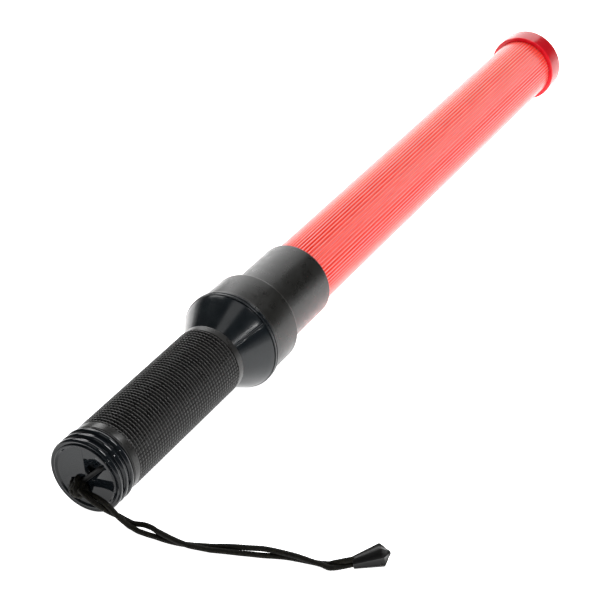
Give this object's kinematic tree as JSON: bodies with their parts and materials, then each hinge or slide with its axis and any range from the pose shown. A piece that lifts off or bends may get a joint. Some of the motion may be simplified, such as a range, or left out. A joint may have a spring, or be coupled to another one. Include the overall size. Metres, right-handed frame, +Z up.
{
  "type": "traffic baton light",
  "caption": "Hand-held traffic baton: ringed screw tail cap with a wrist cord, knurled battery handle, flared lamp head, stepped collar and long ribbed red light tube.",
  "frame": {"origin": "on the floor, under the middle of the baton lying as it rests: on the tail cap's first ring and on the head's rim; the wrist cord doesn't count", "axes": "+X from the tail cap towards the red tip, level; +Z up; the baton's own axis rises 3.38 degrees towards the tip, in the XZ plane"},
  "size_m": [0.5485, 0.1783, 0.0751],
  "materials": {
    "cap_plastic": "moulded black ABS, satin",
    "grip_plastic": "fine square knurl, satin black",
    "gloss_black": "polished black moulding with a seam line",
    "collar_plastic": "satin black moulding",
    "plated_steel": "nickel plated",
    "spring_steel": "drawn spring wire",
    "black_rubber": "soft black rubber",
    "brass": "rolled sheet brass",
    "cell_jacket": null,
    "white_plastic": "off-white moulding",
    "lamp_metal": "nickelled lamp base",
    "clear_glass": "clear glass",
    "mirror_plastic": "metallised plastic",
    "clear_plastic": "clear polished plastic",
    "red_tube": "translucent red, ribbed lengthwise",
    "red_cap": "translucent deep red, polished",
    "cord_braid": "black braided cord",
    "bead_plastic": "matte black moulding"
  },
  "bodies": {
    "handle": {"handle_barrel": "grip_plastic", "head_housing": "gloss_black", "return_strip": "brass", "battery_cell_rear": "cell_jacket", "battery_cell_front": "cell_jacket", "tail_seal": "black_rubber", "head_seal": "black_rubber", "lamp_holder": "white_plastic", "lamp_side_contact": "brass", "lamp_contact_plate": "brass", "lamp_base": "lamp_metal", "lamp_glass": "clear_glass"},
    "tail_contact": {"tail_contact_disc": "plated_steel", "tail_spring": "spring_steel"},
    "tail_cap": {"tail_cap": "cap_plastic", "cord_knot": "cord_braid", "wrist_cord": "cord_braid", "cord_bead": "bead_plastic"},
    "optics": {"reflector": "mirror_plastic", "lens": "clear_plastic", "lens_seal": "black_rubber"},
    "wand": {"collar": "collar_plastic", "light_tube": "red_tube", "tip_cap": "red_cap"}
  },
  "joints": [
    {"name": "tail_cap_travel", "type": "slide", "parent": "handle", "child": "tail_contact", "axis": [-0.9983, 0, -0.059], "range_m": [0, 0.00901]},
    {"name": "tail_cap_turn", "type": "hinge", "parent": "tail_contact", "child": "tail_cap", "pos_m": [-0.27012, 0, 0.02066], "axis": [-0.9983, 0, -0.059], "range_deg": [0, 1080]},
    {"name": "head_travel", "type": "slide", "parent": "handle", "child": "optics", "axis": [0.9983, 0, 0.059], "range_m": [0, 0.00901]},
    {"name": "head_turn", "type": "hinge", "parent": "optics", "child": "wand", "pos_m": [-0.12836, 0, 0.02904], "axis": [0.9983, 0, 0.059], "range_deg": [0, 1080]}
  ],
  "couplings": [
    {"joint": "tail_cap_travel", "follows": "tail_cap_turn", "m_per_rad": 0.00047746},
    {"joint": "head_travel", "follows": "head_turn", "m_per_rad": 0.00047746}
  ]
}
